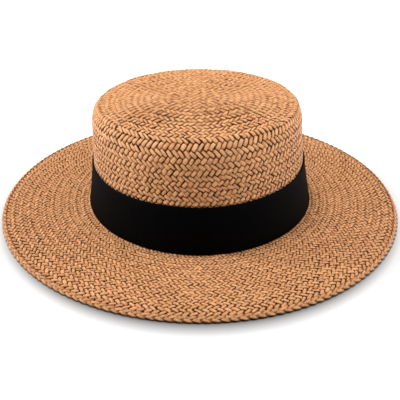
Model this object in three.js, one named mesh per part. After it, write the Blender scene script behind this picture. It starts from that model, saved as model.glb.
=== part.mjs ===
import * as THREE from 'three';

// Straw boater hat, in millimetres, +Z up. The hat stands on its rim: the origin is the middle of the
// rim's underside, the front of the hat faces -Y, and +X is to the right of someone looking at the front.

// Head opening, measured inside the crown where the brim leaves it: an oval of about 57 cm round
const headHalfWidth = 84.5;
const headHalfLength = 96;

// Plaited straw, two strands thick, and the space left between pieces that touch
const strawWall = 2.2;
const pieceGap = 0.3;

// Crown
const crownHeight = 79.9; // from the brim's upper face to the middle of the top
const crownDome = 1.9; // how far the middle of the top stands above the shoulder's end
const shoulderDrop = 12.9; // height of the rounded shoulder
const shoulderInset = 7.5; // how far the shoulder draws in over that height
const crownTaper = 6.6; // how far the wall draws in between the brim and the shoulder
const crownEndTaper = 10.6; // how much further than its sides the crown's front and back draw in, at the top
const crownLean = 2.6; // sideways lean of the hand-blocked top, towards -X
const crownTopSlope = 0.016; // rise of the top for each millimetre towards +X

// Brim
const brimWidth = 69.2; // from the crown's wall to the outside of the rim
const brimRootHeight = 6.8; // upper face at the crown
const brimRimHeight = 3.4; // upper face where the rim starts
const rimLipWidth = 11; // outermost band, which turns down
const rimLipDrop = 1; // how much it turns down
const rimDiameter = 4; // plaited roll that finishes the brim

// Ribbon round the foot of the crown, joined by a plain lap at the back
const bandHeight = 34.1;
const bandThickness = 1;
const bandLapWidth = 16;

// Fineness of the facets
const ringSteps = 64; // points round each oval
const wallSteps = 7; // levels up the crown's wall
const shoulderSteps = 5; // levels over the shoulder
const topSteps = 3; // rings between the shoulder and the middle of the top
const brimSteps = 7; // rings across the brim
const rimSides = 10; // sides of the rim's roll
const bandSteps = 4; // levels up the ribbon

const crownWallHeight = crownHeight - crownDome - shoulderDrop;
const crownMiddleHeight = brimRootHeight + crownHeight;
const brimUndersideHeight = brimRootHeight - strawWall;

// How far a level is up the crown: 0 at the brim's upper face, 1 at the middle of the top
function crownShare(z) {
  return Math.max(0, (z - brimRootHeight) / crownHeight);
}

// The crown leans a little, and what sits on it leans with it
function leaned(x, y, z) {
  const share = crownShare(z);
  return [x - crownLean * share, y, z + crownTopSlope * x * share];
}

// How far the crown's outer face stands outside the head opening's oval, at a height on the wall
function wallOut(z) {
  const share = THREE.MathUtils.clamp((z - brimRootHeight) / crownWallHeight, 0, 1);
  return strawWall - crownTaper * share * (2 - share);
}

// The top is a rounder oval than the head opening: front and back draw in more and more with height
function endsIn(z) {
  return crownEndTaper * crownShare(z) ** 3;
}

// A section is one oval: `out` is its distance outside the head opening, `shrink` scales it for the top
function section(out, z, shrink = 1) {
  return { out, z, shrink };
}

function ringPoint({ out, z, shrink }, angle, extra = 0) {
  const x = (headHalfWidth + out + extra) * shrink * Math.cos(angle);
  const y = (headHalfLength + out + extra - endsIn(z)) * shrink * Math.sin(angle);
  return leaned(x, y, z);
}

function bodyFromRings(points, triangles) {
  const geometry = new THREE.BufferGeometry();
  geometry.setAttribute('position', new THREE.Float32BufferAttribute(points.flat(), 3));
  geometry.setIndex(triangles);
  geometry.computeVertexNormals();
  return geometry;
}

// Joins two neighbouring rings of points, the first one being the outer or upper of the two
function joinRings(triangles, first, second, count) {
  for (let i = 0; i < count; i++) {
    const next = (i + 1) % count;
    triangles.push(first + i, second + i, second + next);
    triangles.push(first + i, second + next, first + next);
  }
}

function evenAngles() {
  return Array.from({ length: ringSteps }, (_, i) => (2 * Math.PI * i) / ringSteps);
}

// A ring-shaped body: its sections go once round the loop that is its cross-section
function ovalRing(sections, angles = evenAngles(), extraAt = () => 0) {
  const count = angles.length;
  const points = [];
  for (const loop of sections) {
    for (const angle of angles) points.push(ringPoint(loop, angle, extraAt(loop, angle)));
  }
  const triangles = [];
  for (let k = 0; k < sections.length; k++) {
    joinRings(triangles, k * count, ((k + 1) % sections.length) * count, count);
  }
  return bodyFromRings(points, triangles);
}

// A cup-shaped body: its sections go from the middle of the top, down outside, and up again inside
function ovalCup(sections, outerMiddle, innerMiddle) {
  const angles = evenAngles();
  const points = [];
  for (const ring of sections) {
    for (const angle of angles) points.push(ringPoint(ring, angle));
  }
  const triangles = [];
  for (let k = 0; k + 1 < sections.length; k++) joinRings(triangles, k * ringSteps, (k + 1) * ringSteps, ringSteps);
  const outerPole = points.push(leaned(0, 0, outerMiddle)) - 1;
  const innerPole = points.push(leaned(0, 0, innerMiddle)) - 1;
  const lastRing = (sections.length - 1) * ringSteps;
  for (let i = 0; i < ringSteps; i++) {
    const next = (i + 1) % ringSteps;
    triangles.push(outerPole, i, next);
    triangles.push(innerPole, lastRing + next, lastRing + i);
  }
  return bodyFromRings(points, triangles);
}

function steps(count) {
  return Array.from({ length: count + 1 }, (_, i) => i / count);
}

// One face of the crown from the middle of the top down to the foot of the wall; `inset` is 0 outside
function crownFace(inset) {
  const wallTop = brimRootHeight + crownWallHeight;
  const shoulderOut = wallOut(wallTop) - inset;
  const insideCorner = 0.5;
  const drawIn = Math.max(insideCorner, shoulderInset - inset);
  const drop = Math.max(insideCorner, shoulderDrop - inset);
  const shoulderEnd = wallTop + drop;
  const middle = crownMiddleHeight - inset;
  const sections = [];
  for (const share of steps(topSteps).slice(1)) {
    sections.push(section(shoulderOut - drawIn, middle - (middle - shoulderEnd) * share * share, share));
  }
  for (const share of steps(shoulderSteps).slice(1)) {
    const turn = (1 - share) * Math.PI / 2;
    sections.push(section(shoulderOut - drawIn * (1 - Math.cos(turn)), wallTop + drop * Math.sin(turn)));
  }
  for (const share of steps(wallSteps).slice(1)) {
    const z = wallTop - crownWallHeight * share;
    sections.push(section(wallOut(z) - inset, z));
  }
  sections.push(section(strawWall - inset, brimUndersideHeight));
  return { sections, middle };
}

function crown() {
  const outside = crownFace(0);
  const inside = crownFace(strawWall);
  return ovalCup([...outside.sections, ...inside.sections.reverse()], outside.middle, inside.middle);
}

// Places across the brim, as distances outside the head opening
const brimInside = strawWall + pieceGap;
const rimOutside = strawWall + brimWidth;
const rimMiddle = rimOutside - rimDiameter / 2;
const brimOutside = rimOutside - rimDiameter - pieceGap;

// Height of the brim's upper face at a share of the way out: a shallow slope, then the lip
function brimTop(share) {
  const lipStart = 1 - rimLipWidth / (brimOutside - brimInside);
  const lipShare = Math.max(0, (share - lipStart) / (1 - lipStart));
  const beforeLip = brimRimHeight + rimLipDrop;
  return brimRootHeight + (beforeLip - brimRootHeight) * share - rimLipDrop * lipShare * lipShare;
}

function brim() {
  const upper = steps(brimSteps).map((share) =>
    section(brimInside + (brimOutside - brimInside) * share, brimTop(share)));
  const lower = upper.map(({ out, z }) => section(out, z - strawWall));
  return ovalRing([...upper, ...lower.reverse()]);
}

// The rim's roll rests on the floor with one flat side
function brimEdge() {
  const radius = rimDiameter / 2;
  const flatTurn = Math.PI / rimSides;
  const corner = radius / Math.cos(flatTurn);
  const sections = [];
  for (let k = 0; k < rimSides; k++) {
    const turn = Math.PI / 2 + flatTurn - (2 * Math.PI * k) / rimSides;
    sections.push(section(rimMiddle + corner * Math.cos(turn), radius + corner * Math.sin(turn)));
  }
  return ovalRing(sections);
}

// The ribbon follows the crown's wall. Its lap is centred at the back, one more thickness outside.
function hatBand() {
  const foot = brimRootHeight + pieceGap;
  const levels = steps(bandSteps).map((share) => foot + bandHeight * share);
  const inner = levels.map((z) => section(wallOut(z) + pieceGap, z));
  const outer = inner.map(({ out, z }) => section(out + bandThickness, z));
  const back = Math.PI / 2;
  const lapTurn = bandLapWidth / 2 / (headHalfWidth + inner[0].out);
  const lapStep = bandThickness / (headHalfWidth + inner[0].out);
  const lapAngles = [-lapTurn - lapStep, -lapTurn, 0, lapTurn, lapTurn + lapStep].map((turn) => back + turn);
  const clear = (angle) => Math.abs(angle - back) > lapTurn + 2 * lapStep;
  const angles = [...evenAngles().filter(clear), ...lapAngles].sort((a, b) => a - b);
  const onLap = (angle) => Math.abs(angle - back) < lapTurn + lapStep / 2;
  const extraAt = (loop, angle) => (outer.includes(loop) && onLap(angle) ? bandThickness : 0);
  return ovalRing([...inner, ...outer.reverse()], angles, extraAt);
}

function straw(color) {
  return new THREE.MeshStandardMaterial({ color, roughness: 0.8, metalness: 0, side: THREE.DoubleSide });
}

const ribbon = new THREE.MeshStandardMaterial({ color: 0x0b0b0c, roughness: 0.75, metalness: 0 });

const hat = new THREE.Group();

function add(name, geometry, material) {
  const mesh = new THREE.Mesh(geometry, material);
  mesh.name = name;
  hat.add(mesh);
}

add('crown', crown(), straw(0xcf9a66));
add('brim', brim(), straw(0xc8935f));
add('brim_edge', brimEdge(), straw(0xc48d58));
add('hat_band', hatBand(), ribbon);

export default hat;
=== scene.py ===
import bpy
import math
import numpy as np
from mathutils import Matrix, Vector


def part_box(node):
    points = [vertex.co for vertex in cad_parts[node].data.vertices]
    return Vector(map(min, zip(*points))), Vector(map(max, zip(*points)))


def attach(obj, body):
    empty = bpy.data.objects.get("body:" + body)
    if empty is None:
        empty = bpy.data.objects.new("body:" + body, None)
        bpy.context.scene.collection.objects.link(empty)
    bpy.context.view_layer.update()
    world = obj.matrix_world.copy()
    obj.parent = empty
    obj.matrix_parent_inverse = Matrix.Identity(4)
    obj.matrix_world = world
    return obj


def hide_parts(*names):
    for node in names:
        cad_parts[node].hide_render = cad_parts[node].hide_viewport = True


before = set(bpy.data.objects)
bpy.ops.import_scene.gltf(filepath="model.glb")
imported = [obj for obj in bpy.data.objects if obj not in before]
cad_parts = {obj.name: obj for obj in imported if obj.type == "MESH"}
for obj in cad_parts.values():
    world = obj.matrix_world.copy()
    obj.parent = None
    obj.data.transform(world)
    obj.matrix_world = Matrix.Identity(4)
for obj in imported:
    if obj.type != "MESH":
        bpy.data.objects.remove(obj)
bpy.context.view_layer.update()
print("frame loaded")

mm = 0.001  # lengths below are in millimetres, and meshes in metres
rng = np.random.default_rng(41)


def nodeBox(name):
    low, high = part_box(name)
    return np.array(low) / mm, np.array(high) / mm


brimLow, brimHigh = nodeBox("brim")
rimLow, rimHigh = nodeBox("brim_edge")

# the hat's form, with the sizes of the solids in the frame
hat = {
    "headWidth": 84.5,       # half the head opening, across
    "headLength": 96.0,      # half the head opening, front to back
    "wall": 2.2,             # two strands thick
    "gap": 0.3,              # between pieces that touch
    "crownHeight": 79.9,     # from the brim's upper face to the middle of the top
    "dome": 1.9,
    "shoulderDrop": 12.9,
    "shoulderInset": 7.5,
    "taper": 6.6,            # how far the wall draws in, up to the shoulder
    "endTaper": 10.6,        # front and back of the crown draw in this much more, at the top
    "lean": 2.6,             # of the top, to the left
    "topSlope": 0.016,       # rise of the top for each millimetre to the right
    "lipWidth": 11.0,        # outermost band of the brim, which turns down
    "lipDrop": 1.0,
    "rimSlopeEnd": 3.4,      # brim's upper face at the rim
}
headSides = np.array([hat["headWidth"], hat["headLength"]])
rootZ = brimHigh[2]          # brim's upper face at the crown
wallHeight = hat["crownHeight"] - hat["dome"] - hat["shoulderDrop"]
wallTopZ = rootZ + wallHeight
halfWall = hat["wall"] / 2
brimInner = hat["wall"] + hat["gap"]
brimOuter = float(((brimHigh - brimLow)[:2] / 2 - headSides).mean())
rimOuter = float(((rimHigh - rimLow)[:2] / 2 - headSides).mean())
rimRadius = (rimHigh[2] - rimLow[2]) / 2


def crownShare(z):
    return np.maximum(0, (z - rootZ) / hat["crownHeight"])


def leaned(x, y, z):
    share = crownShare(z)
    return np.stack([x - hat["lean"] * share, y, z + hat["topSlope"] * x * share], -1)


def endsIn(z):
    return hat["endTaper"] * crownShare(z) ** 3


def ovalPoint(out, angle, z):
    x = (headSides[0] + out) * np.cos(angle)
    y = (headSides[1] + out - endsIn(z)) * np.sin(angle)
    return leaned(x, y, z)


def wallOut(z):
    share = np.clip((z - rootZ) / wallHeight, 0, 1)
    return hat["wall"] - hat["taper"] * share * (2 - share)


def brimTop(out):
    share = (out - brimInner) / (brimOuter - brimInner)
    lipStart = 1 - hat["lipWidth"] / (brimOuter - brimInner)
    lipShare = np.maximum(0, (share - lipStart) / (1 - lipStart))
    slopeEnd = hat["rimSlopeEnd"] + hat["lipDrop"]
    return rootZ + (slopeEnd - rootZ) * share - hat["lipDrop"] * lipShare ** 2


# middle of the straw, from the edge of the top over the shoulder and down the wall
def wallCurve():
    shoulderPoints = 30
    wallPoints = 80
    runOn = 2  # past the foot
    turn = np.linspace(math.pi / 2, 0, shoulderPoints)
    drawIn = hat["shoulderInset"] - halfWall
    drop = hat["shoulderDrop"] - halfWall
    out = wallOut(wallTopZ) - halfWall - drawIn * (1 - np.cos(turn))
    z = wallTopZ + drop * np.sin(turn)
    levels = np.linspace(wallTopZ, rootZ - hat["wall"] - runOn, wallPoints)[1:]
    out = np.concatenate([out, wallOut(levels) - halfWall])
    z = np.concatenate([z, levels])
    length = np.concatenate([[0], np.cumsum(np.hypot(np.diff(out), np.diff(z)))])
    return out, z, length


curveOut, curveZ, curveLength = wallCurve()
footLength = float(np.interp(halfWall - rootZ, -curveZ, curveLength))
discZ = curveZ[0]
discSides = headSides + curveOut[0] - [0, endsIn(discZ)]
topLength = float(discSides.mean())
topMiddleZ = rootZ + hat["crownHeight"] - halfWall


# The crown's straw rolled out flat: a place's distance from (0, 0) is its way along the straw from
# the middle of the top, over the shoulder and down the wall
def crownSurface(x, y):
    reach = np.hypot(x, y)
    angle = np.arctan2(y, x)
    share = np.minimum(reach / topLength, 1)
    topX = discSides[0] * share * np.cos(angle)
    topY = discSides[1] * share * np.sin(angle)
    onTop = leaned(topX, topY, topMiddleZ - (topMiddleZ - discZ) * share ** 2)
    down = reach - topLength
    out = np.interp(down, curveLength, curveOut)
    onWall = ovalPoint(out, angle, np.interp(down, curveLength, curveZ))
    return np.where((down > 0)[:, None], onWall, onTop)


def brimSurface(angle, out):
    return ovalPoint(out, angle, brimTop(out) - halfWall)


normalStep = 0.3             # how far a normal looks to each side, in millimetres
normalTurn = 0.005           # and in radians


def surfaceNormal(surface, p, q, stepP, stepQ):
    alongP = surface(p + stepP, q) - surface(p - stepP, q)
    alongQ = surface(p, q + stepQ) - surface(p, q - stepQ)
    normal = np.cross(alongP, alongQ)
    return normal / np.linalg.norm(normal, axis=1)[:, None]


# how any strand runs from crossing to crossing, and its section
strandForm = {
    "floatRise": 1.1,        # height in the middle of a float, in lifts
    "floatWidth": 1.07,
    "diveAt": 0.34,          # share of the way to the next crossing where it dives
    "diveRise": 0.7,
    "diveWidth": 0.9,
    "liftVary": 0.25,
    "widthEvery": 5,         # crossings from one change of width to the next
    "slowShare": 0.6,        # of the change of width
    "creaseShadeRange": (0.7, 1.5),  # painted shade between strands is stronger at some places than at others
    "cornersOut": 0.64,      # the more, the wider the section's two flat faces
}


# Places along a strand, counted in crossings, with its height there (1 over, -1 under) and its width.
# A strand that stays on its side gets one place between two crossings, one that changes sides two.
def strandPlaces(overs):
    places = []
    heights = []
    widths = []
    for i, (here, after) in enumerate(zip(overs[:-1], overs[1:])):
        lift = 1 + strandForm["liftVary"] * rng.uniform(-1, 1)
        places.append(i)
        heights.append(here * lift)
        widths.append(1)
        if here == after:
            places.append(i + 0.5)
            heights.append(here * lift * strandForm["floatRise"])
            widths.append(strandForm["floatWidth"])
        else:
            places += [i + strandForm["diveAt"], i + 1 - strandForm["diveAt"]]
            heights += [here * strandForm["diveRise"], after * strandForm["diveRise"]]
            widths += [strandForm["diveWidth"]] * 2
    places.append(len(overs) - 1)
    heights.append(overs[-1])
    widths.append(1)
    return np.array(places), np.array(heights), np.array(widths)


# slow changes of width along a strand
def variedWidth(settings, places):
    every = strandForm["widthEvery"]
    knots = np.arange(0, places[-1] + 2 * every, every)
    slow = np.interp(places, knots, rng.uniform(-1, 1, len(knots)))
    base = 1 + settings["widthVary"] * rng.uniform(-1, 1)
    return base + strandForm["slowShare"] * settings["widthVary"] * slow


# random strength of the painted shade between strands, one for each place along a strand
def variedCreaseShade(count):
    return rng.uniform(*strandForm["creaseShadeRange"], count)


# In each pair of rows the floats lean one way, in the next pair the other
def rowOvers(rows, leansLeft):
    return np.where((rows // 2 % 2 == 0) == leansLeft, 1.0, -1.0)


crossingStep = 0.5           # crossings lie half a strand's spacing apart


def crossingIndex(place):
    return np.round(place / crossingStep).astype(int)


# hand-made: how far each crossing lies from its place
def makeUneven(settings, spacings):
    crossings = (settings["rows"] + 1, crossingIndex(spacings), 2)
    return settings["uneven"] * rng.uniform(-1, 1, crossings)


crownWeave = {
    "frontSide": 17,         # half the rectangle that the top starts from, in strand spacings
    "endSide": 14,
    "columnsTo": 3.4,        # how far from the middle the herringbone's columns turn into rows
    "sidesDown": 5.0,        # the rectangle's sides lie this far down the shoulder
    "wideStep": 7.2,         # between the rectangle's rings in the middle
    "tightStep": 5.0,        # and towards the shoulder
    "stepBlend": (6.0, 12.5),
    "squeeze": 0.24,         # strands lie closer together in the middle of the rectangle's sides
    "settle": 24,            # how far the corners of the rectangle have settled into curves
    "rows": 37,              # crossings from the rectangle's sides to the foot
    "rowPlaces": (0, 5, 11, 15, 22, 26, 37),
    "rowPitch": (2.4, 2.1, 2.0, 1.8, 1.75, 2.6, 2.6),
    "twist": 0.09,           # sideways per row, in strand spacings, on the wall
    "twistFrom": 0.6,        # it starts this far out on the top
    "uneven": 0.42,
    "strandWidth": 3.0,
    "widthRange": (2.2, 3.3),
    "fill": 1.04,            # share of the room between its neighbours that a strand takes
    "widthVary": 0.1,
    "strandThickness": 1.4,
    "lift": 0.58,
    "topPressed": 0.3,       # how much flatter the top lies
    "pressedEdge": 30.0,     # less and less over this width at its edge
    "topCreaseShade": 0.48,      # painted shade between the top's strands is weaker, as they are pressed shut
    "creaseFront": (-5.0, 52.0),  # less and less towards the front
    "creaseDown": 20.0,      # and this far down from its edge
    "wander": 0.06,
    "sides": 6,
    "seed": 3,
    # painted light: straw that leans right is painted paler than straw that leans left, as twisted straw
    # that leans one way catches more light than straw that leans the other; within that each strand is
    # paler or darker at random
    "tonesAndSheen": {"right": (0.1, 1.0), "left": (0.0, 0.85)},
}
halfFront = crownWeave["frontSide"]
halfEnd = crownWeave["endSide"]
strandsRound = 4 * (halfFront + halfEnd)
spacingTurn = 2 * math.pi / strandsRound
twistFrom = crownWeave["twistFrom"]
edgeTwist = crownWeave["twist"] * halfEnd * (1 - twistFrom)
crownUneven = makeUneven(crownWeave, strandsRound)
crownUneven[0] = 0           # crossings on the rectangle's sides stay in their places


# distance along the straw from the middle of the top to the rectangle's rings
def ringReach(share):
    samples = 200
    rings = np.linspace(0, halfEnd, samples)
    start, end = crownWeave["stepBlend"]
    blend = np.clip((rings - start) / (end - start), 0, 1)
    blend = blend ** 2 * (3 - 2 * blend)
    steps = crownWeave["wideStep"] + (crownWeave["tightStep"] - crownWeave["wideStep"]) * blend
    reach = np.concatenate([[0], np.cumsum((steps[1:] + steps[:-1]) / 2)])
    reach *= (topLength + crownWeave["sidesDown"]) / reach[-1]
    return np.interp(share * halfEnd, rings, reach)


# crossings on the top: a rectangular lattice drawn out to a disc, then settled
def makeTopLattice():
    acrossTop = np.arange(-halfFront, halfFront + crossingStep / 2, crossingStep) / halfFront
    alongTop = np.arange(-halfEnd, halfEnd + crossingStep / 2, crossingStep) / halfEnd
    x, y = np.meshgrid(acrossTop, alongTop, indexing="ij")
    onFront = np.abs(y) >= np.abs(x)
    longer = np.where(onFront, y, x)
    ring = np.abs(longer)
    share = np.where(onFront, x, y) / np.where(ring == 0, 1, ring)
    squeeze = crownWeave["squeeze"] * (1 - ring ** 2) ** 2
    turn = spacingTurn * np.where(onFront, halfFront, halfEnd) * (share + squeeze * (share ** 3 - share))
    reach = ringReach(ring)
    side = np.where(longer < 0, -1, 1)
    flatX = reach * np.where(onFront, np.sin(turn), side * np.cos(turn))
    flatY = reach * np.where(onFront, side * np.cos(turn), np.sin(turn))
    lattice = np.stack([flatX, flatY], -1)
    for _ in range(crownWeave["settle"]):
        around = lattice[:-2, 1:-1] + lattice[2:, 1:-1] + lattice[1:-1, :-2] + lattice[1:-1, 2:]
        lattice[1:-1, 1:-1] = around / 4
    nearMiddle = 0.001
    settledReach = np.maximum(np.hypot(lattice[..., 0], lattice[..., 1]), nearMiddle)
    lattice *= (reach / settledReach)[..., None]
    turned = spacingTurn * edgeTwist * (np.maximum(0, ring - twistFrom) / (1 - twistFrom)) ** 2
    flatX = lattice[..., 0] * np.cos(turned) - lattice[..., 1] * np.sin(turned)
    flatY = lattice[..., 0] * np.sin(turned) + lattice[..., 1] * np.cos(turned)
    lattice = np.stack([flatX, flatY], -1)
    inner = lattice[1:-1, 1:-1]
    inner += rng.uniform(-1, 1, inner.shape) * crownWeave["uneven"]
    return lattice


topLattice = makeTopLattice()


# room that each crossing on the top has, in square millimetres
def makeTopRoom():
    flat = topLattice.reshape(-1, 2)
    points = crownSurface(flat[:, 0], flat[:, 1]).reshape(*topLattice.shape[:2], 3)
    alongX = np.gradient(points, crossingStep, axis=0)
    alongY = np.gradient(points, crossingStep, axis=1)
    return np.linalg.norm(np.cross(alongX, alongY), axis=2) / 2


topRoom = makeTopRoom()


# rows of crossings on the wall: their way down, their sideways turn and the room of each crossing
def makeWallRows():
    rows = np.arange(crownWeave["rows"] + 1)
    pitch = np.interp(rows[1:] - 0.5, crownWeave["rowPlaces"], crownWeave["rowPitch"])
    share = np.concatenate([[0], np.cumsum(pitch)]) / pitch.sum()
    down = crownWeave["sidesDown"] + (footLength - crownWeave["sidesDown"]) * share
    twist = edgeTwist + crownWeave["twist"] * rows
    girth = 2 * math.pi * (headSides.mean() + np.interp(down, curveLength, curveOut))
    return rows, down, twist, girth / strandsRound * np.gradient(down)


wallRows, wallDown, wallTwist, wallRoom = makeWallRows()


# crossings below the rectangle, from one place on its sides down to the foot
def wallPart(family, x, y):
    onFront = abs(abs(y) - halfEnd) < crossingStep / 2
    if onFront:
        start = x + halfFront if y < 0 else 3 * halfFront + 2 * halfEnd - x
    else:
        start = 2 * halfFront + halfEnd + y if x > 0 else 4 * halfFront + 3 * halfEnd - y
    direction = (-1 if onFront else 1) * (1 if family == "right" else -1)
    place = start + direction * wallRows * crossingStep
    offset = crownUneven[wallRows, crossingIndex(place) % crownUneven.shape[1]]
    angle = -math.pi / 2 + spacingTurn * (place + wallTwist - halfFront)
    angle = angle + offset[:, 0] / headSides.mean()
    reach = topLength + wallDown + offset[:, 1]
    flat = reach[:, None] * np.column_stack([np.cos(angle), np.sin(angle)])
    return flat, rowOvers(wallRows, direction < 0)


# Straw pressed flat fills the room between its neighbours
def filledWidth(points, room):
    step = np.linalg.norm(np.gradient(points, axis=0), axis=1)
    return np.clip(crownWeave["fill"] * room / step, *crownWeave["widthRange"]) / crownWeave["strandWidth"]


# each strand crosses the rectangle diagonally, and runs down to the foot at both ends
def crownStrands(family):
    strands = []
    for k in range(-halfFront - halfEnd, halfFront + halfEnd):
        line = k + 0.5
        lowest = max(-2 * halfFront - line, line - 2 * halfEnd)
        highest = min(2 * halfFront - line, line + 2 * halfEnd)
        other = np.arange(lowest, highest + 0.5)
        x = (line + other) / 2
        y = (other - line) / 2 if family == "right" else (line - other) / 2
        column = crossingIndex(x + halfFront)
        row = crossingIndex(y + halfEnd)
        flat = topLattice[column, row]
        fromEnds = halfFront - np.abs(x)
        fromFront = halfEnd - np.abs(y)
        inColumns = (fromEnds < fromFront) | (np.abs(y) < crownWeave["columnsTo"])
        ringRows = crossingIndex(-np.where(inColumns, fromEnds, fromFront))
        overs = rowOvers(ringRows, inColumns != (family == "right"))
        first, firstOvers = wallPart(family, x[0], y[0])
        last, lastOvers = wallPart(family, x[-1], y[-1])
        flat = np.concatenate([first[::-1], flat[1:-1], last])
        overs = np.concatenate([firstOvers[::-1], overs[1:-1], lastOvers])
        room = np.concatenate([wallRoom[::-1], topRoom[column, row][1:-1], wallRoom])
        filled = filledWidth(crownSurface(flat[:, 0], flat[:, 1]), room)
        places, heights, widths = strandPlaces(overs)
        crossings = np.arange(len(flat))
        fineX = np.interp(places, crossings, flat[:, 0])
        fineY = np.interp(places, crossings, flat[:, 1])
        points = crownSurface(fineX, fineY)
        normals = surfaceNormal(crownSurface, fineX, fineY, normalStep, normalStep)
        widths = widths * variedWidth(crownWeave, places) * np.interp(places, crossings, filled)
        reach = np.hypot(fineX, fineY)
        onTop = np.interp(reach, (topLength - crownWeave["pressedEdge"], topLength), (1, 0))
        heights = heights * (1 - crownWeave["topPressed"] * onTop)
        # painted shade between strands: weaker on the top, full towards the front and down the wall, and
        # stronger or weaker at random from place to place
        pressed = crownWeave["topCreaseShade"]
        inFront = np.interp(-fineY, crownWeave["creaseFront"], (pressed, 1))
        below = np.interp(reach, (topLength, topLength + crownWeave["creaseDown"]), (pressed, 1))
        creaseShades = np.maximum(inFront, below) * variedCreaseShade(len(places))
        strands.append((points, normals, heights, widths, creaseShades))
    return strands


brimWeave = {
    "strands": 196,          # each way
    "rows": 44,
    "startOut": 0.3,         # from the brim's inner edge
    "longer": 0.8,           # than the brim is wide: they end under the rim's plait
    "uneven": 0.36,
    "strandWidth": 2.3,
    "widthVary": 0.12,
    "outerWiden": 0.2,
    "strandThickness": 1.3,
    "lift": 0.48,
    "wander": 0.06,
    "sides": 6,
    "seed": 11,
    # painted light: straw that leans right is painted much paler than straw that leans left; within that
    # each strand is paler or darker at random
    "tonesAndSheen": {"right": (0.4, 1.1), "left": (0.0, 0.55)},
}
brimUneven = makeUneven(brimWeave, brimWeave["strands"])


def brimStrands(family):
    count = brimWeave["strands"]
    rows = np.arange(brimWeave["rows"] + 1)
    span = brimOuter + brimWeave["longer"] - brimInner
    out = brimInner + brimWeave["startOut"] + span * rows / brimWeave["rows"]
    direction = 1 if family == "right" else -1
    strands = []
    for k in range(count):
        place = k + 0.5 + direction * rows * crossingStep
        offset = brimUneven[rows, crossingIndex(place) % brimUneven.shape[1]]
        angle = 2 * math.pi * place / count + offset[:, 0] / (headSides.mean() + out)
        places, heights, widths = strandPlaces(rowOvers(rows, family == "right"))
        fineAngle = np.interp(places, rows, angle)
        fineOut = np.interp(places, rows, out + offset[:, 1])
        points = brimSurface(fineAngle, fineOut)
        normals = -surfaceNormal(brimSurface, fineAngle, fineOut, normalTurn, normalStep)
        widen = 1 + brimWeave["outerWiden"] * places / places[-1]
        widths = widths * variedWidth(brimWeave, places) * widen
        strands.append((points, normals, heights, widths, variedCreaseShade(len(places))))
    return strands


rimPlait = {
    "scallop": 6.1,          # along the rim
    "strandCount": 3,
    "reach": 1.15,           # how far a strand swings to each side
    "cross": 0.5,            # how far it passes over and under
    "slope": 40,             # degrees, the plait leans over the brim's end
    "seenMiddle": 0.75,      # painted shade: the height that a strand is shaded by swings about this
    "seenSwing": 0.5,
    "strandWidth": 2.3,
    "strandThickness": 1.15,
    "lift": 0.0,
    "wander": 0.06,
    "samples": 8,            # to a scallop
    "sides": 6,
    "seed": 23,
    "tonesAndSheen": (0.0, 1.0),
}


def rimStrands():
    girthSamples = 2000
    middle = rimOuter - rimRadius
    around = np.linspace(0, 2 * math.pi, girthSamples)
    ring = ovalPoint(middle, around, np.zeros(girthSamples))
    girth = np.linalg.norm(np.diff(ring, axis=0), axis=1).sum()
    turns = round(girth / rimPlait["scallop"] / rimPlait["strandCount"])
    count = turns * rimPlait["strandCount"] * rimPlait["samples"]
    angle = 2 * math.pi * np.arange(count) / count
    slope = math.radians(rimPlait["slope"])
    strands = []
    for k in range(rimPlait["strandCount"]):
        phase = turns * angle + 2 * math.pi * k / rimPlait["strandCount"]
        side = rimPlait["reach"] * np.sin(phase)
        height = rimPlait["cross"] * np.sin(2 * phase)
        out = middle + side * math.cos(slope) + height * math.sin(slope)
        z = rimRadius - side * math.sin(slope) + height * math.cos(slope)
        points = ovalPoint(out, angle, z)
        outward = ovalPoint(out + 1, angle, z) - points
        normals = outward * math.sin(slope) + np.array([0, 0, 1.0]) * math.cos(slope)
        # painted shade: the rim has no lift, so these heights only darken a strand where it dives
        heights = rimPlait["seenMiddle"] + rimPlait["seenSwing"] * np.sin(2 * phase)
        strands.append((points, normals, heights, np.ones(count), np.ones(count)))
    return strands


def addObject(name, data):
    added = bpy.data.objects.new(name, data)
    bpy.context.scene.collection.objects.link(added)
    return added


# a node's socket takes another node's output or a plain value
def feed(tree, socket, value):
    if isinstance(value, bpy.types.NodeSocket):
        tree.links.new(value, socket)
    else:
        socket.default_value = value


def addMath(tree, operation, first, second=0.0):
    node = tree.nodes.new("ShaderNodeMath")
    node.operation = operation
    feed(tree, node.inputs[0], first)
    feed(tree, node.inputs[1], second)
    return node.outputs["Value"]


def addVectorMath(tree, operation, first, second=(0.0, 0.0, 0.0), socket=1):
    node = tree.nodes.new("ShaderNodeVectorMath")
    node.operation = operation
    feed(tree, node.inputs[0], first)
    feed(tree, node.inputs[socket], second)
    return node.outputs["Value" if operation == "LENGTH" else "Vector"]


def addRange(tree, value, start, end, newStart=0.0, newEnd=1.0):
    node = tree.nodes.new("ShaderNodeMapRange")
    labels = ("Value", "From Min", "From Max", "To Min", "To Max")
    for label, given in zip(labels, (value, start, end, newStart, newEnd)):
        feed(tree, node.inputs[label], given)
    return node.outputs["Result"]


def addColorMix(tree, factor, first, second):
    node = tree.nodes.new("ShaderNodeMix")
    node.data_type = "RGBA"
    feed(tree, node.inputs["Factor"], factor)
    feed(tree, node.inputs[6], first)
    feed(tree, node.inputs[7], second)
    return node.outputs[2]


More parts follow.
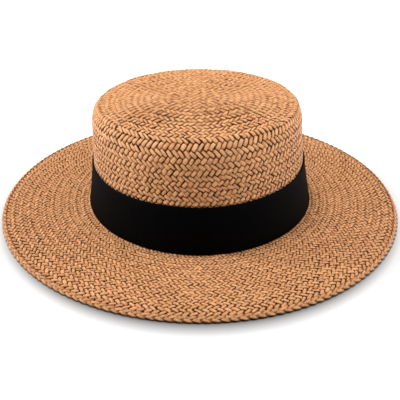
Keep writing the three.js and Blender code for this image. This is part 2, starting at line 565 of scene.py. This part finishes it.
# Geometry Nodes tree that lays a flat strand along each line of a mesh of edges
def makeStrandTree():
    tree = bpy.data.node_groups.new("layStrands", "GeometryNodeTree")
    face = tree.interface
    face.new_socket("Geometry", in_out="INPUT", socket_type="NodeSocketGeometry")
    for label in ("Strand Width", "Strand Thickness", "Lift", "Wander", "Tone And Sheen Low", "Tone And Sheen High"):
        face.new_socket(label, in_out="INPUT", socket_type="NodeSocketFloat")
    for label in ("Sides", "Seed"):
        face.new_socket(label, in_out="INPUT", socket_type="NodeSocketInt")
    face.new_socket("Material", in_out="INPUT", socket_type="NodeSocketMaterial")
    face.new_socket("Geometry", in_out="OUTPUT", socket_type="NodeSocketGeometry")
    nodes = tree.nodes
    link = tree.links.new
    given = nodes.new("NodeGroupInput")

    def attribute(label, kind="FLOAT"):
        node = nodes.new("GeometryNodeInputNamedAttribute")
        node.data_type = kind
        node.inputs["Name"].default_value = label
        return node.outputs["Attribute"]

    def store(geometry, label, value, domain):
        node = nodes.new("GeometryNodeStoreNamedAttribute")
        node.data_type = "FLOAT"
        node.domain = domain
        node.inputs["Name"].default_value = label
        link(geometry, node.inputs["Geometry"])
        link(value, node.inputs["Value"])
        return node.outputs["Geometry"]

    def scaled(vector, scale):
        return addVectorMath(tree, "SCALE", vector, scale, socket=3)

    # strands go over and under along the face's normal, and wander a little
    faceNormal = attribute("faceNormal", "FLOAT_VECTOR")
    height = addMath(tree, "MULTIPLY", attribute("overUnder"), given.outputs["Lift"])
    wander = nodes.new("FunctionNodeRandomValue")
    wander.data_type = "FLOAT_VECTOR"
    link(given.outputs["Seed"], wander.inputs["Seed"])
    wander.inputs[0].default_value = (-1, -1, -1)
    wander.inputs[1].default_value = (1, 1, 1)
    raised = scaled(faceNormal, height)
    wandered = scaled(wander.outputs[0], given.outputs["Wander"])
    place = nodes.new("GeometryNodeSetPosition")
    link(given.outputs["Geometry"], place.inputs["Geometry"])
    link(addVectorMath(tree, "ADD", raised, wandered), place.inputs["Offset"])
    toCurve = nodes.new("GeometryNodeMeshToCurve")
    link(place.outputs["Geometry"], toCurve.inputs["Mesh"])
    turned = nodes.new("GeometryNodeSetCurveNormal")
    turned.mode = "FREE"
    link(toCurve.outputs["Curve"], turned.inputs["Curve"])
    link(faceNormal, turned.inputs["Normal"])
    toneAndSheen = nodes.new("FunctionNodeRandomValue")
    toneAndSheen.data_type = "FLOAT"
    link(given.outputs["Seed"], toneAndSheen.inputs["Seed"])
    link(given.outputs["Tone And Sheen Low"], toneAndSheen.inputs[2])
    link(given.outputs["Tone And Sheen High"], toneAndSheen.inputs[3])
    curves = store(turned.outputs["Curve"], "strandToneAndSheen", toneAndSheen.outputs[1], "CURVE")
    spline = nodes.new("GeometryNodeSplineParameter")
    curves = store(curves, "alongStrand", spline.outputs["Length"], "POINT")

    # section of a strand: its first side lies flat, and it keeps where on it each place was
    circle = nodes.new("GeometryNodeCurvePrimitiveCircle")
    link(given.outputs["Sides"], circle.inputs["Resolution"])
    circle.inputs["Radius"].default_value = 0.5
    turnBy = nodes.new("ShaderNodeCombineXYZ")
    link(addMath(tree, "DIVIDE", math.pi, given.outputs["Sides"]), turnBy.inputs["Z"])
    flatUp = nodes.new("GeometryNodeTransform")
    link(circle.outputs["Curve"], flatUp.inputs["Geometry"])
    link(turnBy.outputs["Vector"], flatUp.inputs["Rotation"])
    position = nodes.new("GeometryNodeInputPosition")
    split = nodes.new("ShaderNodeSeparateXYZ")
    link(position.outputs["Position"], split.inputs["Vector"])
    across = addMath(tree, "MULTIPLY", split.outputs["Y"], 2)
    # the corners beside the flat side move outwards: 0.5 to 0.66 of the half width
    narrowing = addMath(tree, "MULTIPLY", addMath(tree, "ABSOLUTE", across), -strandForm["cornersOut"])
    outwards = addMath(tree, "ADD", narrowing, 1 + strandForm["cornersOut"])
    across = addMath(tree, "MULTIPLY", across, outwards)
    section = store(flatUp.outputs["Geometry"], "sideways", across, "POINT")
    thick = addMath(tree, "MULTIPLY", split.outputs["X"], given.outputs["Strand Thickness"])
    wide = addMath(tree, "MULTIPLY", attribute("sideways"), given.outputs["Strand Width"])
    corner = nodes.new("ShaderNodeCombineXYZ")
    link(thick, corner.inputs["X"])
    link(addMath(tree, "MULTIPLY", wide, 0.5), corner.inputs["Y"])
    sized = nodes.new("GeometryNodeSetPosition")
    link(section, sized.inputs["Geometry"])
    link(corner.outputs["Vector"], sized.inputs["Position"])

    sweep = nodes.new("GeometryNodeCurveToMesh")
    link(curves, sweep.inputs["Curve"])
    link(sized.outputs["Geometry"], sweep.inputs["Profile Curve"])
    link(attribute("widthShare"), sweep.inputs["Scale"])
    sweep.inputs["Fill Caps"].default_value = True
    smooth = nodes.new("GeometryNodeSetShadeSmooth")
    link(sweep.outputs["Mesh"], smooth.inputs["Geometry"])
    real = nodes.new("GeometryNodeRealizeInstances")
    link(smooth.outputs["Geometry"], real.inputs["Geometry"])
    paint = nodes.new("GeometryNodeSetMaterial")
    link(real.outputs["Geometry"], paint.inputs["Geometry"])
    link(given.outputs["Material"], paint.inputs["Material"])
    result = nodes.new("NodeGroupOutput")
    link(paint.outputs["Geometry"], result.inputs["Geometry"])
    return tree


strandTree = makeStrandTree()


def layStrands(name, strands, closed, settings, tonesAndSheen, material):
    points, normals, heights, widths, creaseShades = [np.concatenate(part) for part in zip(*strands)]
    edges = []
    start = 0
    for strand in strands:
        count = len(strand[0])
        ids = np.arange(start, start + count)
        edges.append(np.stack([ids[:-1], ids[1:]], 1))
        if closed:
            edges.append(np.array([[ids[-1], ids[0]]]))
        start += count
    mesh = bpy.data.meshes.new(name + "Lines")
    mesh.from_pydata((points * mm).tolist(), np.concatenate(edges).tolist(), [])
    mesh.attributes.new("faceNormal", "FLOAT_VECTOR", "POINT").data.foreach_set("vector", normals.ravel())
    # the heights also set the painted shade where strands dive, and the last of these shares scales the
    # painted shade between strands
    for label, shares in (("overUnder", heights), ("widthShare", widths), ("creaseShadeShare", creaseShades)):
        mesh.attributes.new(label, "FLOAT", "POINT").data.foreach_set("value", shares)
    lines = addObject(name + "Lines", mesh)
    modifier = lines.modifiers.new("lay", "NODES")
    modifier.node_group = strandTree
    values = {
        "Strand Width": settings["strandWidth"] * mm,
        "Strand Thickness": settings["strandThickness"] * mm,
        "Lift": settings["lift"] * mm,
        "Wander": settings["wander"] * mm,
        "Tone And Sheen Low": tonesAndSheen[0],
        "Tone And Sheen High": tonesAndSheen[1],
        "Sides": settings["sides"],
        "Seed": settings["seed"],
        "Material": material,
    }
    sockets = {s.name: s.identifier for s in strandTree.interface.items_tree if s.in_out == "INPUT"}
    for label, value in values.items():
        modifier[sockets[label]] = value
    evaluated = lines.evaluated_get(bpy.context.evaluated_depsgraph_get())
    made = bpy.data.meshes.new_from_object(evaluated)
    made.name = name
    piece = addObject(name, made)
    bpy.data.objects.remove(lines)
    made.calc_loop_triangles()
    print(name, len(made.loop_triangles), "triangles")
    return piece


# paper straw twisted into a flat strand, as all the hat's straw is
strawFibre = {
    "acrossScale": 2.2,      # of the noise across a strand: along it the material has its own
    "toneApart": 40.0,       # strands of other tones have other noise
    "slowScale": 0.25,
    "slowDetail": 2,
    "fineScale": 2.2,
    "fineDetail": 3,
    "foldScale": 1.1,
    "foldDistortion": 3.0,
    "foldDetail": 2,
    "slowPale": (0.3, 0.7),  # slow noise from darkest to palest
    "depthDark": (0.9, 0.15),  # painted shade: height of a place, from clear to dark
    "sideDark": (0.54, 0.9),   # and how far sideways it lies
    "streakDark": (0.52, 0.3),
    "streakShade": 0.6,
    "glossDark": (0.0, 0.8),   # painted shade over which the gloss goes
    "gloss": (0.4, 0.02),
    "foldRelief": 0.6,
    "fineRelief": 0.8,
    "fineRough": (0.3, 0.7),
    "roughness": (0.42, 0.62),
}


def makeStrawGroup():
    group = bpy.data.node_groups.new("strawFibre", "ShaderNodeTree")
    face = group.interface
    for label in ("Light", "Middle", "Shade"):
        face.new_socket(label, in_out="INPUT", socket_type="NodeSocketColor")
    for label in ("Fibre Scale", "Depth Shade", "Side Shade"):
        face.new_socket(label, in_out="INPUT", socket_type="NodeSocketFloat")
    face.new_socket("Color", in_out="OUTPUT", socket_type="NodeSocketColor")
    for label in ("Height", "Roughness", "Gloss"):
        face.new_socket(label, in_out="OUTPUT", socket_type="NodeSocketFloat")
    nodes = group.nodes
    link = group.links.new
    given = nodes.new("NodeGroupInput")
    result = nodes.new("NodeGroupOutput")

    def attribute(label):
        node = nodes.new("ShaderNodeAttribute")
        node.attribute_name = label
        return node.outputs["Fac"]

    def times(first, second):
        return addMath(group, "MULTIPLY", first, second)

    sideways = attribute("sideways")
    toneAndSheen = attribute("strandToneAndSheen")
    place = nodes.new("ShaderNodeCombineXYZ")
    link(times(attribute("alongStrand"), given.outputs["Fibre Scale"]), place.inputs["X"])
    link(times(sideways, strawFibre["acrossScale"]), place.inputs["Y"])
    link(times(toneAndSheen, strawFibre["toneApart"]), place.inputs["Z"])

    def noise(scale, detail):
        node = nodes.new("ShaderNodeTexNoise")
        link(place.outputs["Vector"], node.inputs["Vector"])
        node.inputs["Scale"].default_value = scale
        node.inputs["Detail"].default_value = detail
        return node.outputs["Fac"]

    slow = noise(strawFibre["slowScale"], strawFibre["slowDetail"])
    fine = noise(strawFibre["fineScale"], strawFibre["fineDetail"])
    folds = nodes.new("ShaderNodeTexWave")
    folds.wave_type = "BANDS"
    folds.bands_direction = "DIAGONAL"
    link(place.outputs["Vector"], folds.inputs["Vector"])
    folds.inputs["Scale"].default_value = strawFibre["foldScale"]
    folds.inputs["Distortion"].default_value = strawFibre["foldDistortion"]
    folds.inputs["Detail"].default_value = strawFibre["foldDetail"]

    # half of a place's paleness is its strand's, half its own; on the crown and brim the strand's half
    # also holds painted light, by the way the strand leans
    slowPale = times(addRange(group, slow, *strawFibre["slowPale"]), 0.5)
    pale = addMath(group, "ADD", slowPale, times(toneAndSheen, 0.5))
    color = addColorMix(group, pale, given.outputs["Middle"], given.outputs["Light"])

    # painted shade: straw is darker and duller where it dives and along its sides, between strands
    depth = addRange(group, attribute("overUnder"), *strawFibre["depthDark"])
    side = addRange(group, addMath(group, "ABSOLUTE", sideways), *strawFibre["sideDark"])
    depth = times(depth, given.outputs["Depth Shade"])
    side = times(side, given.outputs["Side Shade"])
    creaseShade = times(addMath(group, "MAXIMUM", depth, side), attribute("creaseShadeShare"))
    link(addRange(group, creaseShade, *strawFibre["glossDark"], *strawFibre["gloss"]), result.inputs["Gloss"])
    streak = times(addRange(group, fine, *strawFibre["streakDark"]), strawFibre["streakShade"])
    # the darker of the painted shade and the straw's own fine streaks
    dark = addMath(group, "MAXIMUM", creaseShade, streak)
    link(addColorMix(group, dark, color, given.outputs["Shade"]), result.inputs["Color"])
    foldRelief = times(folds.outputs["Fac"], strawFibre["foldRelief"])
    fineRelief = times(fine, strawFibre["fineRelief"])
    link(addMath(group, "ADD", foldRelief, fineRelief), result.inputs["Height"])
    roughness = addRange(group, fine, *strawFibre["fineRough"], *strawFibre["roughness"])
    link(roughness, result.inputs["Roughness"])
    return group


strawGroup = makeStrawGroup()


def newMaterial(name):
    material = bpy.data.materials.new(name)
    material.use_nodes = True
    tree = material.node_tree
    return material, tree, tree.nodes["Principled BSDF"]


def addBump(tree, shader, height, settings):
    bump = tree.nodes.new("ShaderNodeBump")
    bump.inputs["Strength"].default_value = settings["relief"]
    bump.inputs["Distance"].default_value = settings["reliefDepth"] * mm
    tree.links.new(height, bump.inputs["Height"])
    tree.links.new(bump.outputs["Normal"], shader.inputs["Normal"])


def strawMaterial(name, settings):
    material, tree, shader = newMaterial(name)
    straw = tree.nodes.new("ShaderNodeGroup")
    straw.node_tree = strawGroup
    straw.inputs["Light"].default_value = (*settings["light"], 1)
    straw.inputs["Middle"].default_value = (*settings["middle"], 1)
    straw.inputs["Shade"].default_value = (*settings["shade"], 1)
    straw.inputs["Fibre Scale"].default_value = settings["fibreScale"]
    straw.inputs["Depth Shade"].default_value = settings["depthShade"]
    straw.inputs["Side Shade"].default_value = settings["sideShade"]
    tree.links.new(straw.outputs["Color"], shader.inputs["Base Color"])
    tree.links.new(straw.outputs["Roughness"], shader.inputs["Roughness"])
    tree.links.new(straw.outputs["Gloss"], shader.inputs["Specular IOR Level"])
    addBump(tree, shader, straw.outputs["Height"], settings)
    return material


crownStraw = strawMaterial("crownStraw", {
    "light": (0.95, 0.485, 0.215),
    "middle": (0.66, 0.28, 0.103),
    "shade": (0.05, 0.011, 0.004),
    "fibreScale": 900.0,
    "depthShade": 1.0,
    "sideShade": 0.72,
    "relief": 0.6,
    "reliefDepth": 0.2,
})
brimStraw = strawMaterial("brimStraw", {
    "light": (0.9, 0.445, 0.19),
    "middle": (0.54, 0.22, 0.08),
    "shade": (0.05, 0.011, 0.004),
    "fibreScale": 900.0,
    "depthShade": 1.0,
    "sideShade": 0.75,
    "relief": 0.6,
    "reliefDepth": 0.2,
})

crownPieces = []
for side in ("right", "left"):
    name = f"crown_strands_{side}"
    tonesAndSheen = crownWeave["tonesAndSheen"][side]
    crownPieces.append(layStrands(name, crownStrands(side), False, crownWeave, tonesAndSheen, crownStraw))
brimPieces = []
for side in ("right", "left"):
    plaited = brimStrands(side)
    tonesAndSheen = brimWeave["tonesAndSheen"][side]
    half = len(plaited) // 2
    for part, strands in (("back", plaited[:half]), ("front", plaited[half:])):
        name = f"brim_strands_{side}_{part}"
        brimPieces.append(layStrands(name, strands, False, brimWeave, tonesAndSheen, brimStraw))
rimPiece = layStrands("rim_plait", rimStrands(), True, rimPlait, rimPlait["tonesAndSheen"], brimStraw)
print("straw plaited")


# ribbon: a thin closed strip round the wall, with its free end lapped over at the back
ribbonForm = {
    "height": 34.1,
    "thickness": 0.9,
    "slack": 0.1,            # outside the gap to the wall
    "raised": 0.05,
    "lapWidth": 16.0,
    "lapStep": 0.7,
    "lapRise": 0.9,          # in thicknesses
    "edgeRound": 0.35,
    "columns": 360,
    "rows": 8,
    "waver": 0.18,           # of its upper edge
    "waves": ((1, 3, 0.6), (0.6, 7, 2.1), (0.3, 13, 0)),  # size, number round the hat, start
    "dark": (0.0004, 0.0004, 0.0005, 1),
    "light": (0.0014, 0.0015, 0.0017, 1),
    "ribScale": 180.0,
    "ribDistortion": 0.3,
    "speckScale": 1500.0,
    "relief": 0.5,
    "reliefDepth": 0.15,
    "roughness": 0.7,
    "gloss": 0.03,
}


def ribbonPiece(material):
    height = ribbonForm["height"]
    thickness = ribbonForm["thickness"]
    foot = rootZ + hat["gap"]
    count = ribbonForm["columns"]
    angles = 2 * math.pi * np.arange(count) / count
    share = np.linspace(0, 1, ribbonForm["rows"] + 1)
    flat = ribbonForm["edgeRound"] + (height - 2 * ribbonForm["edgeRound"]) * share
    # section, as depths and heights: up the outer face, then down the inner one
    levels = [(0.5, 0.0), *[(1.0, up) for up in flat], (0.5, height), *[(0.0, up) for up in flat[::-1]]]
    fromBack = np.abs(angles - math.pi / 2) * (hat["headWidth"] + hat["wall"])
    lapEnd = ribbonForm["lapWidth"] / 2 + ribbonForm["lapStep"]
    lap = np.clip((lapEnd - fromBack) / ribbonForm["lapStep"], 0, 1)
    wave = sum(size * np.sin(number * angles + start) for size, number, start in ribbonForm["waves"])
    points = []
    for depth, up in levels:
        z = foot + up + ribbonForm["waver"] * wave * (up / height) + ribbonForm["raised"]
        lapped = thickness * ribbonForm["lapRise"] * lap * (depth == 1.0)
        out = wallOut(z) + hat["gap"] + ribbonForm["slack"] + depth * thickness + lapped
        points.append(ovalPoint(out, angles, z))
    rings = len(levels)
    ids = np.arange(rings * count).reshape(rings, count)
    nextRing = np.roll(ids, -1, 0)
    faces = np.stack([ids, np.roll(ids, -1, 1), np.roll(nextRing, -1, 1), nextRing], -1).reshape(-1, 4)
    mesh = bpy.data.meshes.new("ribbon")
    mesh.from_pydata((np.concatenate(points) * mm).tolist(), [], faces.tolist())
    uv = mesh.uv_layers.new(name="ribbonMap")
    girth = 2 * math.pi * headSides.mean() * mm
    column = (ids % count) / count * girth
    row = np.repeat(np.array([up for depth, up in levels]) * mm, count).reshape(rings, count)
    across = np.stack([column, column + girth / count, column + girth / count, column], -1)
    upward = np.stack([row, row, np.roll(row, -1, 0), np.roll(row, -1, 0)], -1)
    uv.data.foreach_set("uv", np.stack([across, upward], -1).astype(np.float32).ravel())
    mesh.shade_smooth()
    mesh.materials.append(material)
    return addObject("ribbon", mesh)


def ribbonMaterial():
    material, tree, shader = newMaterial("ribbonWeave")
    uv = tree.nodes.new("ShaderNodeUVMap")
    uv.uv_map = "ribbonMap"
    rib = tree.nodes.new("ShaderNodeTexWave")
    rib.bands_direction = "X"
    rib.inputs["Scale"].default_value = ribbonForm["ribScale"]
    rib.inputs["Distortion"].default_value = ribbonForm["ribDistortion"]
    tree.links.new(uv.outputs["UV"], rib.inputs["Vector"])
    speck = tree.nodes.new("ShaderNodeTexNoise")
    speck.inputs["Scale"].default_value = ribbonForm["speckScale"]
    tree.links.new(uv.outputs["UV"], speck.inputs["Vector"])
    color = addColorMix(tree, speck.outputs["Fac"], ribbonForm["dark"], ribbonForm["light"])
    tree.links.new(color, shader.inputs["Base Color"])
    addBump(tree, shader, rib.outputs["Fac"], ribbonForm)
    shader.inputs["Roughness"].default_value = ribbonForm["roughness"]
    shader.inputs["Specular IOR Level"].default_value = ribbonForm["gloss"]
    return material


ribbon = ribbonPiece(ribbonMaterial())
print("ribbon made")

for piece in crownPieces:
    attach(piece, "root")
    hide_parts("crown")
for piece in brimPieces:
    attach(piece, "root")
    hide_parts("brim")
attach(rimPiece, "root")
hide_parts("brim_edge")
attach(ribbon, "root")
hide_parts("hat_band")

# lengths here are in metres
studio = {
    "floorSize": 12.0,
    "floorColor": (0.68, 0.68, 0.68, 1),
    "floorRoughness": 0.9,
    # painted shadow: the paper is darker round the rim, most in front of it
    "shadeColor": (0.13, 0.12, 0.12, 1),
    "shadeMiddle": (0.0005, -0.008, 0.0),
    "shadeSides": (0.153, 0.1675, 1.0),
    "shadeFrom": 0.945,      # painted soft shadow round the rim, in shares of its sides
    "shadeTo": 1.028,
    "glowTo": 1.5,           # painted light: farther out the white paper glows more and more
    "white": (1, 1, 1, 1),
    "skyStrength": 0.15,
    "lamps": {               # place, size and power in watts
        "topLight": ((-0.2, 0.22, 1.9), 0.9, 36.5),
        "leftLight": ((-1.6, 0.2, 0.7), 0.9, 20.0),
        "rightLight": ((1.6, 0.2, 0.7), 0.9, 18.0),
    },
}


def makeFloor():
    half = studio["floorSize"] / 2
    corners = [(-half, -half, 0), (half, -half, 0), (half, half, 0), (-half, half, 0)]
    mesh = bpy.data.meshes.new("floor")
    mesh.from_pydata(corners, [], [(0, 1, 2, 3)])
    floor = addObject("floor", mesh)
    material, tree, shader = newMaterial("floorPaper")
    shader.inputs["Roughness"].default_value = studio["floorRoughness"]
    shader.inputs["Specular IOR Level"].default_value = 0

    # distance from the middle of the painted shadow, in shares of its sides
    place = tree.nodes.new("ShaderNodeTexCoord")
    moved = addVectorMath(tree, "SUBTRACT", place.outputs["Object"], studio["shadeMiddle"])
    away = addVectorMath(tree, "LENGTH", addVectorMath(tree, "DIVIDE", moved, studio["shadeSides"]))
    outsideShadow = addRange(tree, away, studio["shadeFrom"], studio["shadeTo"])
    paper = addColorMix(tree, outsideShadow, studio["shadeColor"], studio["floorColor"])
    # painted light: outside the painted shadow the paper glows more and more
    paintedGlow = addRange(tree, away, studio["shadeTo"], studio["glowTo"])
    tree.links.new(paper, shader.inputs["Base Color"])
    tree.links.new(paintedGlow, shader.inputs["Emission Strength"])
    shader.inputs["Emission Color"].default_value = studio["white"]
    mesh.materials.append(material)


def addArea(name, place, size, power):
    light = bpy.data.lights.new(name, "AREA")
    light.shape = "DISK"
    light.size = size
    light.energy = power
    lamp = addObject(name, light)
    lamp.location = place
    lamp.rotation_euler = (-lamp.location).to_track_quat("-Z", "Y").to_euler()


def lightStudio():
    world = bpy.data.worlds.new("studio")
    bpy.context.scene.world = world
    world.use_nodes = True
    tree = world.node_tree
    back = tree.nodes["Background"]
    back.inputs["Color"].default_value = studio["white"]
    # seen directly the sky is white paper, but it lights the hat only softly
    path = tree.nodes.new("ShaderNodeLightPath")
    strength = addRange(tree, path.outputs["Is Camera Ray"], 0, 1, studio["skyStrength"])
    tree.links.new(strength, back.inputs["Strength"])
    for name, (place, size, power) in studio["lamps"].items():
        addArea(name, place, size, power)
    bpy.context.scene.view_settings.view_transform = "Standard"


makeFloor()
lightStudio()

# camera fitted to the photo's outlines
view = {
    "elevation": 27.41,      # degrees
    "distance": 608.0,
    "focalPixels": 748.2,
    "aimHeight": 2.0,
    "middlePixel": (199.8, 196.0),
    "framePixels": 400,
    "sensorWidth": 36,
    "nearest": 10.0,
}


def makeCamera():
    data = bpy.data.cameras.new("camera")
    data.sensor_width = view["sensorWidth"]
    data.lens = data.sensor_width * view["focalPixels"] / view["framePixels"]
    centre = view["framePixels"] / 2
    data.shift_x = (centre - view["middlePixel"][0]) / view["framePixels"]
    data.shift_y = (view["middlePixel"][1] - centre) / view["framePixels"]
    data.clip_start = view["nearest"] * mm
    camera = addObject("camera", data)
    tilt = math.radians(view["elevation"])
    away = view["distance"] * mm
    camera.location = (0, -away * math.cos(tilt), away * math.sin(tilt) + view["aimHeight"] * mm)
    camera.rotation_euler = (math.pi / 2 - tilt, 0, 0)
    bpy.context.scene.camera = camera


makeCamera()
print("camera and lights placed")
